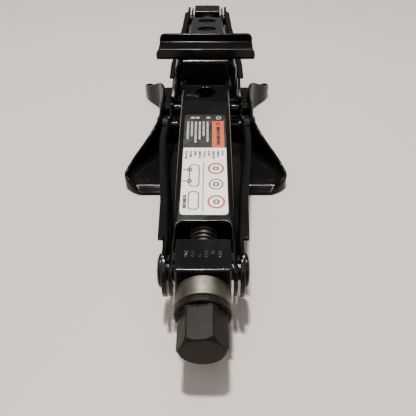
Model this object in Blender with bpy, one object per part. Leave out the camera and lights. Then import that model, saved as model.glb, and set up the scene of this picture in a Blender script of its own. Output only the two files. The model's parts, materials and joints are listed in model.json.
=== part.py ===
"""Scissor jack, folded flat, with a hex-driven lead screw.

The screw runs along Y, the hex head is at the -Y end, X is across and +Z is up.
The origin is on the ground under the middle of the base plate.
"""

import math

import bmesh
import bpy
from mathutils import Matrix, Vector

MM = 0.001

# Linkage: four arms of one length, folded to FOLD_ANGLE above the horizontal.
ARM_LENGTH = 168.0
FOLD_ANGLE = math.radians(5.81)
BASE_PIN_Z = 17.0
HALF_SPAN = 180.0
PIN_HALF_PITCH = HALF_SPAN - ARM_LENGTH * math.cos(FOLD_ANGLE)
SCREW_Z = BASE_PIN_Z + ARM_LENGTH * math.sin(FOLD_ANGLE)
SADDLE_PIN_Z = 2.0 * SCREW_Z - BASE_PIN_Z

GAP = 0.3
CUT_REACH = 45.0
PIN_RADIUS = 5.0
HOLE_RADIUS = 5.35
ROUND_SIDES = 20

# Gear teeth that keep the two sides of the linkage level; both pairs are alike.
GEAR_TEETH = 12
GEAR_PITCH_RADIUS = PIN_HALF_PITCH
GEAR_MODULE = 2.0 * GEAR_PITCH_RADIUS / GEAR_TEETH
GEAR_TIP_RADIUS = GEAR_PITCH_RADIUS + 0.8 * GEAR_MODULE
GEAR_ROOT_RADIUS = 10.4
GEAR_TOOTH_WIDTH = 2.9
GEAR_PRESSURE_ANGLE = math.radians(25.0)
FRONT_TEETH = (0.0, 30.0, 60.0)
REAR_TEETH = (15.0, 45.0, 75.0)

# Lower arms: open-topped channels that widen towards the base.
LOWER_SHEET = 2.3
LOWER_EAR_RADIUS = 13.4
LOWER_HALF_WIDTH = ((-18.0, 29.6), (50.0, 29.6), (82.0, 26.5), (124.0, 22.3), (158.0, 20.5), (190.0, 20.5))
LOWER_LIP = 3.2
LOWER_LIP_START = 30.0
LOWER_LIP_END = 157.8
LOWER_WEB_START = 30.0
LOWER_WEB_END = 140.0

# Upper arms: channels open downwards, of one width.
UPPER_SHEET = 2.0
UPPER_HALF_WIDTH = 17.0
UPPER_EAR_RADIUS = 13.0
UPPER_TOP = (
    (-18.0, 9.2),
    (12.5, 9.4),
    (38.0, 10.8),
    (143.0, 8.8),
    (150.0, 8.8),
    (160.0, 13.0),
    (184.0, 13.0),
)
UPPER_DEPTH = 13.0
UPPER_WEB_START = 14.5
UPPER_WEB_END = 142.0
FRONT_UPPER_HOLES = ((22.5, 7.2, 7.2),)
REAR_UPPER_HOLES = ((94.0, 9.0, 7.9), (127.0, 9.0, 7.9))

# Base plate: a pressed tray with upright side walls that carry the base pins.
# Each station is (distance from the middle, half width, wall top, floor top).
BASE_SHEET = 2.5
BASE_PIN_HEAD = (2.4, 7.5)
SPACER_RADIUS = 8.0
BASE_STATIONS = (
    (0.0, 37.6, 30.0, 2.5),
    (20.0, 37.6, 30.0, 2.5),
    (26.0, 38.2, 30.0, 2.5),
    (33.0, 39.6, 30.0, 5.5),
    (38.0, 41.2, 29.0, 5.5),
    (43.0, 43.7, 26.8, 5.5),
    (49.0, 48.0, 22.8, 5.5),
    (55.0, 53.0, 18.2, 5.5),
    (60.0, 56.4, 15.0, 5.5),
    (64.0, 58.3, 13.2, 5.5),
    (67.5, 59.5, 12.1, 5.5),
    (71.0, 59.6, 11.4, 5.5),
    (74.0, 58.4, 10.8, 5.5),
    (76.0, 56.7, 9.6, 5.3),
    (78.5, 53.8, 6.8, 4.1),
    (80.4, 50.6, 3.9, 2.9),
    (81.5, 47.5, 2.9, 2.5),
)

# Trunnions, screw, thrust bearing and drive head, measured from the trunnion pins.
TRUNNION_HALF_WIDTH = 13.8
TRUNNION_OUTER = 13.6
TRUNNION_INNER = 7.3
FRONT_TRUNNION_TOP = 16.1
REAR_TRUNNION_TOP = 11.7
TRUNNION_BOTTOM = 14.5
TRUNNION_EDGE = 1.2
FRONT_SOCKET_DEPTH = 5.0
REAR_SOCKET_DEPTH = 2.8
BORE_CLEARANCE = 0.6
PIN_HEAD_RADIUS = 8.75
PIN_HEAD_START = 21.1
PIN_HEAD_END = 23.5
SCREW_RADIUS = 7.5
SCREW_TAIL = 19.0
NUT_RADIUS = 10.5
SCREW_NOSE_END = 38.0
END_STOP_INSET = 1.5
END_STOP_LENGTH = 3.5
BEARING_RADIUS = 13.9
BEARING_INNER = 12.5
BEARING_END = 24.7
RACE_RADIUS = 12.2
FIXED_RACE_END = 16.2
CAGE = (16.5, 20.3)
CAGE_RADII = (8.4, 11.6)
TURNING_RACE = (20.6, 22.9)
DRIVE_WASHER = (23.2, 24.5)
HEAD_START = 25.0
FLANGE_RADIUS = 13.7
FLANGE_THICKNESS = 3.4
HEAD_END = 46.4
HEX_ACROSS_FLATS = 21.0
HEX_CHAMFER = 1.4
HEX_TURN = math.radians(7.0)

# Saddle: a folded bracket on the saddle pins and a grooved rest on top of it.
BRACKET_SHEET = 2.4
BRACKET_HALF_WIDTH = 22.0
BRACKET_TOP = 72.9
BRACKET_HALF_LENGTH = 20.6
BRACKET_LUG_RADIUS = 8.4
BRACKET_NOTCH_HALF_WIDTH = 17.9
BRACKET_BEND = 3.0
BRACKET_EDGE_Z = 66.0
SADDLE_PIN_HEAD = (2.2, 7.0)
TAB_OUTER = 18.4
TAB_SHEET = 2.4
TAB_TOP = 74.4
TAB_HALF_WIDTH = 16.6
TAB_STEP_HALF_WIDTH = 14.4
TAB_STEP = 62.5
TAB_BOTTOM = 56.5
REST_SHEET = 2.4
REST_BEND = 1.8
REST_HALF_LENGTH = 35.8
REST_HALF_WIDTH = 15.65
REST_TOP = 81.5

# Label on the front upper arm.
LABEL_HALF_WIDTH = 13.6
LABEL_THICKNESS = 0.25
LABEL_GAP = 0.1
LABEL_START = 50.0
LABEL_END = 138.0

BLACK_PAINT = ((0.012, 0.012, 0.013), 0.28, 0.0)
DARK_STEEL = ((0.05, 0.048, 0.045), 0.45, 0.9)
ZINC_STEEL = ((0.55, 0.53, 0.5), 0.35, 1.0)
OILED_STEEL = ((0.2, 0.19, 0.18), 0.4, 1.0)
BRASS = ((0.6, 0.45, 0.2), 0.35, 1.0)
LABEL_WHITE = ((0.82, 0.8, 0.77), 0.5, 0.0)


def start_clean():
    for old in list(bpy.data.objects):
        bpy.data.objects.remove(old)


def material(name, look):
    colour, roughness, metallic = look
    made = bpy.data.materials.new(name)
    made.use_nodes = True
    shader = made.node_tree.nodes["Principled BSDF"]
    shader.inputs["Base Color"].default_value = (*colour, 1.0)
    shader.inputs["Roughness"].default_value = roughness
    shader.inputs["Metallic"].default_value = metallic
    return made


def add_object(name, builder, look=None, smooth=True):
    """Turns a bmesh in millimetres into an object in metres."""
    bmesh.ops.scale(builder, vec=(MM, MM, MM), verts=builder.verts)
    bmesh.ops.recalc_face_normals(builder, faces=builder.faces)
    if builder.calc_volume(signed=True) < 0.0:
        bmesh.ops.reverse_faces(builder, faces=builder.faces)
    mesh = bpy.data.meshes.new(name)
    builder.to_mesh(mesh)
    builder.free()
    if smooth:
        mesh.shade_smooth()
        mesh.set_sharp_from_angle(angle=math.radians(35.0))
    made = bpy.data.objects.new(name, mesh)
    bpy.context.scene.collection.objects.link(made)
    if look:
        mesh.materials.append(material(name, look))
    return made


def place(item, parent, x, y, z, turn_x=0.0, turn_z=0.0):
    """Puts an object at a place in millimetres, under a parent."""
    item.location = (x * MM, y * MM, z * MM)
    item.rotation_euler = (turn_x, 0.0, turn_z)
    if parent:
        item.parent = parent
    return item


def hide_cutter(cutter):
    cutter.hide_render = True
    cutter.display_type = "WIRE"
    return cutter


def apply_boolean(item, cutter, operation):
    cut = item.modifiers.new(cutter.name, "BOOLEAN")
    cut.operation = operation
    cut.solver = "EXACT" if operation == "DIFFERENCE" else "MANIFOLD"
    cut.object = hide_cutter(cutter)


def loft(rings):
    """Skins closed rings of equal point counts and caps both ends."""
    builder = bmesh.new()
    rows = [[builder.verts.new(point) for point in ring] for ring in rings]
    count = len(rows[0])
    for low, high in zip(rows, rows[1:]):
        for index in range(count):
            after = (index + 1) % count
            builder.faces.new((low[index], low[after], high[after], high[index]))
    builder.faces.new(rows[0])
    builder.faces.new(rows[-1])
    bmesh.ops.triangulate(builder, faces=builder.faces)
    return builder


def prism(outline, low, high, axis="x"):
    """Extrudes a closed outline along X (points are Y, Z) or along Z (points are X, Y)."""
    if axis == "x":
        return loft([[(level, a, b) for a, b in outline] for level in (low, high)])
    return loft([[(a, b, level) for a, b in outline] for level in (low, high)])


def box(low, high):
    outline = ((low[0], low[1]), (high[0], low[1]), (high[0], high[1]), (low[0], high[1]))
    return prism(outline, low[2], high[2], axis="z")


def turned(profile, sides=ROUND_SIDES, axis="y"):
    """Turns (distance along the axis, radius) points, a closed loop, into a ring or a rod."""
    builder = bmesh.new()
    closed_rod = profile[0][1] == 0.0
    rows = []
    for along, radius in profile:
        if radius == 0.0:
            rows.append([builder.verts.new((0.0, along, 0.0))] * sides)
            continue
        row = []
        for index in range(sides):
            angle = 2.0 * math.pi * index / sides
            row.append(builder.verts.new((radius * math.cos(angle), along, radius * math.sin(angle))))
        rows.append(row)
    pairs = list(zip(rows, rows[1:]))
    if not closed_rod:
        pairs.append((rows[-1], rows[0]))
    for low, high in pairs:
        for index in range(sides):
            after = (index + 1) % sides
            corners = []
            for corner in (low[index], low[after], high[after], high[index]):
                if corner not in corners:
                    corners.append(corner)
            builder.faces.new(corners)
    if axis == "x":
        bmesh.ops.rotate(builder, verts=builder.verts, matrix=Matrix.Rotation(math.radians(-90.0), 3, "Z"))
    return builder


def rod(low, high, radius, axis="y", sides=ROUND_SIDES, chamfer=0.0):
    if chamfer:
        profile = (
            (low, 0.0),
            (low, radius - chamfer),
            (low + chamfer, radius),
            (high - chamfer, radius),
            (high, radius - chamfer),
            (high, 0.0),
        )
    else:
        profile = ((low, 0.0), (low, radius), (high, radius), (high, 0.0))
    return turned(profile, sides, axis)


def ring(low, high, inner, outer, axis="y", sides=ROUND_SIDES, chamfer=0.0):
    if not chamfer:
        return turned(((low, inner), (low, outer), (high, outer), (high, inner)), sides, axis)
    profile = (
        (low, inner),
        (low, outer - chamfer),
        (low + chamfer, outer),
        (high - chamfer, outer),
        (high, outer - chamfer),
        (high, inner),
    )
    return turned(profile, sides, axis)


def arc(centre, radius, start_deg, end_deg, steps):
    points = []
    for index in range(steps + 1):
        angle = math.radians(start_deg + (end_deg - start_deg) * index / steps)
        points.append((centre[0] + radius * math.cos(angle), centre[1] + radius * math.sin(angle)))
    return points


def thicken(path, thickness):
    """Closed outline of a sheet whose middle follows an open path."""
    half = 0.5 * thickness
    left = []
    right = []
    for index, point in enumerate(path):
        before = Vector(path[max(index - 1, 0)])
        after = Vector(path[min(index + 1, len(path) - 1)])
        here = Vector(point)
        inward = (here - before).normalized() if index else (after - here).normalized()
        outward = (after - here).normalized() if index < len(path) - 1 else inward
        tangent = (inward + outward).normalized()
        normal = Vector((-tangent.y, tangent.x))
        reach = half / max(0.5, normal.dot(Vector((-inward.y, inward.x))))
        left.append(tuple(here + reach * normal))
        right.append(tuple(here - reach * normal))
    return left + right[::-1]


def mirrored_path(half_path):
    """Completes a path given from its +X end to the middle."""
    return list(half_path) + [(-x, y) for x, y in reversed(half_path) if x > 0.0]


def between(table, value):
    for (low, a), (high, b) in zip(table, table[1:]):
        if value <= high:
            return a + (b - a) * (value - low) / (high - low)
    return table[-1][1]


def polar(radius, angle):
    return (radius * math.cos(angle), radius * math.sin(angle))


def tooth_outline(centre_deg):
    """One involute tooth about the gear's axis, clockwise from its leading root."""
    base_radius = GEAR_PITCH_RADIUS * math.cos(GEAR_PRESSURE_ANGLE)
    half_at_pitch = GEAR_TOOTH_WIDTH / (2.0 * GEAR_PITCH_RADIUS)
    start = math.tan(GEAR_PRESSURE_ANGLE) - GEAR_PRESSURE_ANGLE
    flank = [(GEAR_ROOT_RADIUS, half_at_pitch + start)]
    for step in range(4):
        radius = base_radius + (GEAR_TIP_RADIUS - base_radius) * step / 3.0
        pressure = math.acos(min(1.0, base_radius / radius))
        flank.append((radius, half_at_pitch + start - (math.tan(pressure) - pressure)))
    centre = math.radians(centre_deg)
    leading = [polar(radius, centre + half) for radius, half in flank]
    trailing = [polar(radius, centre - half) for radius, half in flank]
    return leading + trailing[::-1]


def gear_end(teeth):
    """Rounded, toothed end of an arm, counterclockwise from 70 to 270 degrees, teeth above the arm's axis."""
    fold = math.degrees(FOLD_ANGLE)
    points = arc((0.0, 0.0), GEAR_ROOT_RADIUS, 75.0, 84.0, 1)
    for angle in sorted(teeth, reverse=True):
        points += tooth_outline(180.0 - fold - angle)[::-1]
        if angle != min(teeth):
            valley = math.radians(180.0 - fold - angle + 0.5 * 360.0 / GEAR_TEETH)
            points.append(polar(GEAR_ROOT_RADIUS, valley))
    last = 180.0 - fold - min(teeth) + 18.0
    return points + arc((0.0, 0.0), GEAR_ROOT_RADIUS, last, 275.0, 8)


def lower_outline(teeth):
    """Side outline of a lower arm: gear axis at the origin, trunnion pin at +ARM_LENGTH."""
    over = LOWER_EAR_RADIUS + 1.0
    ear = arc((ARM_LENGTH, 0.0), LOWER_EAR_RADIUS, -82.0, 82.0, 14)
    start = [(28.0, -over), (ear[0][0], -over)]
    top = [(ear[-1][0], over), (27.0, over), (12.0, 12.6)]
    return gear_end(teeth) + start + ear + top


def upper_outline(teeth):
    """Side outline of an upper arm, the other way up: its teeth are below the arm's axis."""
    over = UPPER_DEPTH + 1.0
    ear = arc((ARM_LENGTH, 0.0), UPPER_EAR_RADIUS, -80.0, 80.0, 14)
    under = [(ear[-1][0], UPPER_DEPTH), (34.0, UPPER_DEPTH), (14.0, 11.6)]
    flipped = gear_end(teeth) + [(12.0, -over), (ear[0][0], -over)] + ear + under
    return [(along, -up) for along, up in reversed(flipped)]


def lower_section(along):
    """Cross-section of a lower arm: an open-topped channel with lips turned outwards."""
    half = between(LOWER_HALF_WIDTH, along) - 0.5 * LOWER_SHEET
    top = LOWER_EAR_RADIUS - 0.5 * LOWER_SHEET
    path = [(half + 0.5 * LOWER_SHEET + LOWER_LIP, top)]
    path += arc((half + 1.6, top - 1.6), 1.6, 90.0, 180.0, 3)
    path += arc((half - 2.4, 2.4 - top), 2.4, 0.0, -90.0, 3)
    return thicken(mirrored_path(path), LOWER_SHEET)


def upper_section(along):
    """Cross-section of an upper arm: a channel open downwards."""
    half = UPPER_HALF_WIDTH - 0.5 * UPPER_SHEET
    top = between(UPPER_TOP, along) - 0.5 * UPPER_SHEET
    path = [(half, -UPPER_DEPTH)]
    path += arc((half - 2.0, top - 2.0), 2.0, 0.0, 90.0, 3)
    return thicken(mirrored_path(path), UPPER_SHEET)


def channel(section, table, direction, start, end):
    """Skins an arm's cross-sections; direction is -1 for an arm that runs towards -Y."""
    stations = [start] + [along for along, _ in table if start < along < end] + [end]
    return loft([[(x, direction * along, up) for x, up in section(along)] for along in stations])


def along_y(outline, direction):
    return [(direction * along, up) for along, up in outline]


def web_cutter(inside, stations, direction, low, high):
    """A block that clears the web from between the side walls, following their taper."""
    right = [(inside(along), direction * along) for along in stations]
    left = [(-x, y) for x, y in reversed(right)]
    return prism(right + left, low, high, axis="z")


def arm(name, direction, section, table, outline, look):
    item = add_object(name, channel(section, table, direction, -16.0, ARM_LENGTH + 15.0), look)
    profile = add_object(name + "_outline_cutter", prism(along_y(outline, direction), -CUT_REACH, CUT_REACH))
    apply_boolean(item, profile, "INTERSECT")
    return item, [profile]


def pin_hole_cutters(name, direction):
    cutters = []
    for label, along in (("gear", 0.0), ("trunnion", ARM_LENGTH)):
        hole = add_object(name + "_" + label + "_hole_cutter", rod(-CUT_REACH, CUT_REACH, HOLE_RADIUS, "x"))
        for vertex in hole.data.vertices:
            vertex.co.y += direction * along * MM
        cutters.append(hole)
    return cutters


def shift_mesh(item, along_y_mm):
    for vertex in item.data.vertices:
        vertex.co.y += along_y_mm * MM


def build_lower_arm(name, direction, teeth, parent):
    item, cutters = arm(name, direction, lower_section, LOWER_HALF_WIDTH, lower_outline(teeth), BLACK_PAINT)

    def inside(along):
        return between(LOWER_HALF_WIDTH, along) - LOWER_SHEET - 0.05

    taper_end = LOWER_HALF_WIDTH[-2][0]
    ends = (("pivot", (-20.0, LOWER_WEB_START)), ("trunnion", (LOWER_WEB_END, taper_end, 190.0)))
    for label, stations in ends:
        cut = web_cutter(inside, stations, direction, -CUT_REACH, CUT_REACH)
        cutters.append(add_object(name + "_" + label + "_web_cutter", cut))
    lip_ends = (
        ("pivot", -20.0, LOWER_LIP_START, LOWER_HALF_WIDTH[0][1]),
        ("trunnion", LOWER_LIP_END, 190.0, LOWER_HALF_WIDTH[-1][1]),
    )
    for side in (-1.0, 1.0):
        for label, low, high_end, wall in lip_ends:
            edge = sorted((side * (wall + 0.15), side * CUT_REACH))
            reach = sorted((direction * low, direction * high_end))
            cut = box((edge[0], reach[0], -CUT_REACH), (edge[1], reach[1], CUT_REACH))
            side_name = "left" if side < 0.0 else "right"
            cutters.append(add_object(name + "_" + label + "_" + side_name + "_lip_cutter", cut))
    cutters += pin_hole_cutters(name, direction)
    for cutter in cutters[1:]:
        apply_boolean(item, cutter, "DIFFERENCE")
    for each in [item] + cutters:
        place(each, parent, 0.0, 0.0, 0.0)
    return item


def build_upper_arm(name, direction, teeth, holes, parent):
    item, cutters = arm(name, direction, upper_section, UPPER_TOP, upper_outline(teeth), BLACK_PAINT)
    half = UPPER_HALF_WIDTH - UPPER_SHEET - 0.05
    for label, low, high in (("pivot", -20.0, UPPER_WEB_START), ("trunnion", UPPER_WEB_END, 190.0)):
        reach = sorted((direction * low, direction * high))
        cut = box((-half, reach[0], -CUT_REACH), (half, reach[1], CUT_REACH))
        cutters.append(add_object(name + "_" + label + "_web_cutter", cut))
    for index, (along, half_across, half_along) in enumerate(holes):
        circle = arc((0.0, 0.0), 1.0, 0.0, 342.0, ROUND_SIDES - 1)
        outline = [(half_across * x, direction * along + half_along * y) for x, y in circle]
        hole = prism(outline, 0.0, CUT_REACH, axis="z")
        cutters.append(add_object(name + "_web_hole_cutter_" + str(index), hole))
    cutters += pin_hole_cutters(name, direction)
    for cutter in cutters[1:]:
        apply_boolean(item, cutter, "DIFFERENCE")
    for each in [item] + cutters:
        shift_mesh(each, -direction * ARM_LENGTH)
        place(each, parent, 0.0, 0.0, 0.0)
    return item


def base_section(station):
    """Cross-section of the tray: floor, rounded foot and upright wall, from wall to wall."""
    _, half, wall_top, floor = station
    rise = min(1.0, max(0.0, wall_top - floor) / 5.0)
    inner = half - BASE_SHEET
    right = [
        (half - 4.5, floor - BASE_SHEET),
        (half - 1.5, 0.0),
        (half, 1.0),
        (half, wall_top),
        (inner, wall_top),
        (inner, floor + 2.5 * rise),
        (inner - 0.9, floor + 0.8 * rise),
        (inner - 2.8, floor),
    ]
    return right + [(-x, z) for x, z in reversed(right)]


def build_base(parent):
    rings = []
    for side in (-1.0, 1.0):
        stations = BASE_STATIONS[::-1] if side < 0.0 else BASE_STATIONS[1:]
        rings += [[(x, side * station[0], z) for x, z in base_section(station)] for station in stations]
    item = place(add_object("base_plate", loft(rings), BLACK_PAINT), parent, 0.0, 0.0, 0.0)
    for label, side in (("front", -1.0), ("rear", 1.0)):
        hole = add_object("base_" + label + "_hole_cutter", rod(-CUT_REACH, CUT_REACH, HOLE_RADIUS, "x"))
        place(hole, parent, 0.0, side * PIN_HALF_PITCH, BASE_PIN_Z)
        apply_boolean(item, hole, "DIFFERENCE")
        pin = turned(headed_pin(BASE_STATIONS[0][1] + GAP, *BASE_PIN_HEAD), axis="x")
        pin = add_object("base_pin_" + label, pin, DARK_STEEL)
        place(pin, parent, 0.0, side * PIN_HALF_PITCH, BASE_PIN_Z)
        wall = BASE_STATIONS[0][1] - BASE_SHEET
        arm_side = LOWER_HALF_WIDTH[0][1]
        for name, way in (("left", -1.0), ("right", 1.0)):
            low, high = sorted((way * (arm_side + GAP), way * (wall - GAP)))
            spacer = ring(low, high, HOLE_RADIUS, SPACER_RADIUS, "x")
            spacer = add_object("base_spacer_" + label + "_" + name, spacer, OILED_STEEL)
            place(spacer, parent, 0.0, side * PIN_HALF_PITCH, BASE_PIN_Z)


def headed_pin(shoulder, head, head_radius):
    """Profile of a pin with a rounded head outside each shoulder."""
    tip = shoulder + head
    return (
        (-tip, 0.0),
        (-tip, head_radius - 1.2),
        (-tip + 0.8, head_radius),
        (-shoulder, head_radius),
        (-shoulder, PIN_RADIUS),
        (shoulder, PIN_RADIUS),
        (shoulder, head_radius),
        (tip - 0.8, head_radius),
        (tip, head_radius - 1.2),
        (tip, 0.0),
    )


def build_trunnion(end, parent):
    """Trunnion block with its screw bore, pin sockets and the two headed pins; end is -1 at the front."""
    label = "front" if end < 0.0 else "rear"
    edges = sorted((end * TRUNNION_OUTER, -end * TRUNNION_INNER))
    top = FRONT_TRUNNION_TOP if end < 0.0 else REAR_TRUNNION_TOP
    block = box((-TRUNNION_HALF_WIDTH, edges[0], -TRUNNION_BOTTOM), (TRUNNION_HALF_WIDTH, edges[1], top))
    item = place(add_object(label + "_trunnion", block, BLACK_PAINT, smooth=False), parent, 0.0, 0.0, 0.0)
    soften = item.modifiers.new("soft_edges", "BEVEL")
    soften.width = TRUNNION_EDGE * MM
    soften.segments = 2
    bore_radius = SCREW_RADIUS + BORE_CLEARANCE if end < 0.0 else NUT_RADIUS + GAP
    bore = add_object(label + "_bore_cutter", rod(-CUT_REACH, CUT_REACH, bore_radius))
    place(bore, parent, 0.0, 0.0, 0.0)
    apply_boolean(item, bore, "DIFFERENCE")
    socket_start = TRUNNION_HALF_WIDTH - (FRONT_SOCKET_DEPTH if end < 0.0 else REAR_SOCKET_DEPTH)
    for name, way in (("left", -1.0), ("right", 1.0)):
        low, high = sorted((way * socket_start, way * CUT_REACH))
        socket = add_object(label + "_" + name + "_socket_cutter", rod(low, high, HOLE_RADIUS, "x"))
        place(socket, parent, 0.0, 0.0, 0.0)
        apply_boolean(item, socket, "DIFFERENCE")
        profile = (
            (way * (socket_start + GAP), 0.0),
            (way * (socket_start + GAP), PIN_RADIUS),
            (way * PIN_HEAD_START, PIN_RADIUS),
            (way * PIN_HEAD_START, PIN_HEAD_RADIUS),
            (way * (PIN_HEAD_END - 1.2), PIN_HEAD_RADIUS),
            (way * (PIN_HEAD_END - 0.4), PIN_HEAD_RADIUS - 1.1),
            (way * PIN_HEAD_END, PIN_HEAD_RADIUS - 3.0),
            (way * PIN_HEAD_END, 0.0),
        )
        pin = add_object(label + "_trunnion_pin_" + name, turned(profile, axis="x"), BLACK_PAINT)
        place(pin, parent, 0.0, 0.0, 0.0)
    return item


def hexagon(radius, level, turn):
    points = []
    for index in range(6):
        angle = turn + math.radians(60.0 * index)
        points.append((radius * math.cos(angle), level, radius * math.sin(angle)))
    return points


def build_head(parent):
    """Hex drive head with its flange and the blind bore for the screw's nose."""
    corner = 0.5 * HEX_ACROSS_FLATS / math.cos(math.radians(30.0))
    start = -(HEAD_START + FLANGE_THICKNESS - 0.5)
    shaft = loft(
        [
            hexagon(corner, start, HEX_TURN),
            hexagon(corner, -(HEAD_END - HEX_CHAMFER), HEX_TURN),
            hexagon(corner - HEX_CHAMFER, -HEAD_END, HEX_TURN),
        ]
    )
    item = place(add_object("hex_drive_head", shaft, DARK_STEEL, smooth=False), parent, 0.0, 0.0, 0.0)
    flange = rod(-(HEAD_START + FLANGE_THICKNESS), -HEAD_START, FLANGE_RADIUS, chamfer=0.6)
    cutter = place(add_object("hex_flange_cutter", flange), parent, 0.0, 0.0, 0.0)
    apply_boolean(item, cutter, "UNION")
    bore = add_object("hex_bore_cutter", rod(-SCREW_NOSE_END - GAP, 0.0, SCREW_RADIUS - 1.0 + GAP))
    place(bore, parent, 0.0, 0.0, 0.0)
    apply_boolean(item, bore, "DIFFERENCE")


def build_screw(parent):
    """Lead screw with its turned-down nose, its end stop, the head and the bearing's turning race."""
    tail = 2.0 * HALF_SPAN + SCREW_TAIL
    nose = SCREW_RADIUS - 1.0
    profile = (
        (-SCREW_NOSE_END, 0.0),
        (-SCREW_NOSE_END, nose),
        (-HEAD_START + GAP, nose),
        (-HEAD_START + 3.0 * GAP, SCREW_RADIUS),
        (tail - 1.0, SCREW_RADIUS),
        (tail, SCREW_RADIUS - 1.0),
        (tail, 0.0),
    )
    place(add_object("lead_screw", turned(profile), OILED_STEEL), parent, 0.0, 0.0, 0.0)
    stop_end = tail - END_STOP_INSET
    stop = ring(stop_end - END_STOP_LENGTH, stop_end, SCREW_RADIUS + GAP, NUT_RADIUS)
    place(add_object("screw_end_stop", stop, DARK_STEEL), parent, 0.0, 0.0, 0.0)
    race = ring(-TURNING_RACE[1], -TURNING_RACE[0], SCREW_RADIUS + GAP, RACE_RADIUS)
    place(add_object("bearing_turning_race", race, OILED_STEEL), parent, 0.0, 0.0, 0.0)
    washer = ring(-DRIVE_WASHER[1], -DRIVE_WASHER[0], SCREW_RADIUS + GAP, RACE_RADIUS)
    place(add_object("drive_washer", washer, BRASS), parent, 0.0, 0.0, 0.0)
    build_head(parent)


def build_bearing(parent):
    """Thrust bearing parts that stay still on the front trunnion."""
    start = -(TRUNNION_OUTER + GAP)
    housing = ring(-BEARING_END, start, BEARING_INNER, BEARING_RADIUS, sides=28, chamfer=0.5)
    place(add_object("bearing_housing", housing, ZINC_STEEL), parent, 0.0, 0.0, 0.0)
    race = ring(-FIXED_RACE_END, start, SCREW_RADIUS + BORE_CLEARANCE, RACE_RADIUS)
    place(add_object("bearing_fixed_race", race, OILED_STEEL), parent, 0.0, 0.0, 0.0)
    cage = ring(-CAGE[1], -CAGE[0], *CAGE_RADII)
    place(add_object("bearing_ball_cage", cage, BRASS), parent, 0.0, 0.0, 0.0)


def rest_path():
    """Middle line of the saddle rest's sheet, from its +Y lip round to its -Y lip."""
    half = REST_HALF_WIDTH - 0.5 * REST_SHEET
    floor = BRACKET_TOP + GAP + 0.5 * REST_SHEET
    bend = arc((half - REST_BEND, floor + REST_BEND), REST_BEND, 0.0, -90.0, 4)
    return mirrored_path([(half, REST_TOP)] + bend)


def at_saddle(item, parent, y, z):
    """Places an object of the saddle under the front saddle pin's axis, from its place in the whole jack."""
    return place(item, parent, 0.0, y + PIN_HALF_PITCH, z - SADDLE_PIN_Z)


def build_tab(label, end, parent):
    """Upright plate at one end of the bracket, outside the rest's wall; it narrows between the arms."""
    side = [(TAB_STEP_HALF_WIDTH, TAB_BOTTOM), (TAB_STEP_HALF_WIDTH, TAB_STEP), (TAB_HALF_WIDTH, TAB_STEP)]
    side.append((TAB_HALF_WIDTH, TAB_TOP - 1.0))
    side.append((TAB_HALF_WIDTH - 1.0, TAB_TOP))
    outline = side + [(-x, z) for x, z in reversed(side)]
    low, high = sorted((end * TAB_OUTER, end * (TAB_OUTER - TAB_SHEET)))
    plate = loft([[(x, y, z) for x, z in outline] for y in (low, high)])
    at_saddle(add_object("saddle_tab_" + label, plate, BLACK_PAINT, smooth=False), parent, 0.0, 0.0)


def bracket_outline():
    """Side outline of the bracket: an open-topped shape with a rounded lug under each saddle pin."""
    wall = BRACKET_HALF_LENGTH + 3.5
    points = arc((-PIN_HALF_PITCH, SADDLE_PIN_Z), BRACKET_LUG_RADIUS, 165.0, 270.0, 6)
    points += arc((PIN_HALF_PITCH, SADDLE_PIN_Z), BRACKET_LUG_RADIUS, 270.0, 375.0, 6)
    return points + [(wall, BRACKET_EDGE_Z), (wall, REST_TOP), (-wall, REST_TOP), (-wall, BRACKET_EDGE_Z)]


def build_bracket(parent):
    half = BRACKET_HALF_WIDTH - 0.5 * BRACKET_SHEET
    top = BRACKET_TOP - 0.5 * BRACKET_SHEET
    bend = arc((half - BRACKET_BEND, top - BRACKET_BEND), BRACKET_BEND, 0.0, 90.0, 4)
    section = thicken(mirrored_path([(half, SADDLE_PIN_Z - BRACKET_LUG_RADIUS - 1.0)] + bend), BRACKET_SHEET)
    folded = loft([[(x, y, z) for x, z in section] for y in (-BRACKET_HALF_LENGTH, BRACKET_HALF_LENGTH)])
    item = at_saddle(add_object("saddle_bracket", folded, BLACK_PAINT), parent, 0.0, 0.0)
    outline = add_object("bracket_outline_cutter", prism(bracket_outline(), -CUT_REACH, CUT_REACH))
    apply_boolean(item, at_saddle(outline, parent, 0.0, 0.0), "INTERSECT")
    wide = BRACKET_NOTCH_HALF_WIDTH
    for label, end in (("front", -1.0), ("rear", 1.0)):
        reach = sorted((end * (TAB_OUTER - TAB_SHEET - GAP), end * CUT_REACH))
        notch = box((-wide, reach[0], BRACKET_EDGE_Z), (wide, reach[1], REST_TOP))
        notch = at_saddle(add_object("bracket_" + label + "_notch_cutter", notch), parent, 0.0, 0.0)
        apply_boolean(item, notch, "DIFFERENCE")
        hole = add_object("bracket_" + label + "_hole_cutter", rod(-CUT_REACH, CUT_REACH, HOLE_RADIUS, "x"))
        at_saddle(hole, parent, end * PIN_HALF_PITCH, SADDLE_PIN_Z)
        apply_boolean(item, hole, "DIFFERENCE")


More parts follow.
